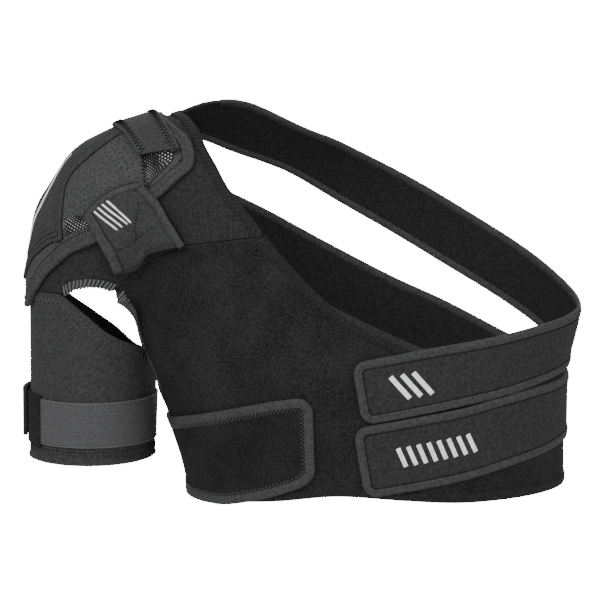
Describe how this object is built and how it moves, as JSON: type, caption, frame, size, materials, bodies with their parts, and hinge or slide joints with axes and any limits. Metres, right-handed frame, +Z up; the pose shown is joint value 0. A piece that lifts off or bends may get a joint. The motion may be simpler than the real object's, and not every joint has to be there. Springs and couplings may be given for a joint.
{
  "type": "shoulder brace",
  "caption": "Wrap-round right shoulder brace of black neoprene with a padded cap, an upper-arm sleeve and hook-and-loop straps round the chest.",
  "frame": {"origin": "top of the wearer's braced shoulder, where the yoke rests", "axes": "+X across the chest away from the braced right shoulder, +Y to the wearer's back, +Z up"},
  "size_m": [0.4652, 0.2398, 0.324],
  "materials": {
    "loop_face": "dark brushed loop face",
    "neoprene": "matt knit face",
    "perforated": "matt perforated face",
    "binding": "matt knit binding",
    "mesh": "open mesh over a dark ground",
    "webbing": "matt laminated webbing",
    "hook": "dark hook and loop face",
    "elastic": "ribbed elastic"
  },
  "bodies": {
    "root": {"chest_panel": "loop_face", "shoulder_yoke": "neoprene", "sleeve": "perforated", "cap_shell": "perforated", "cap_binding": "binding", "cap_centre_pad": "perforated", "low_mesh_window": "mesh", "high_mesh_window": "mesh", "keeper_loop": "webbing", "pull_tab": "webbing", "upper_strap": "webbing", "lower_strap": "webbing", "side_tab": "hook", "waist_belt": "loop_face", "arm_strap": "elastic", "arm_strap_patch": "hook", "arm_strap_tab": "webbing"}
  },
  "joints": []
}
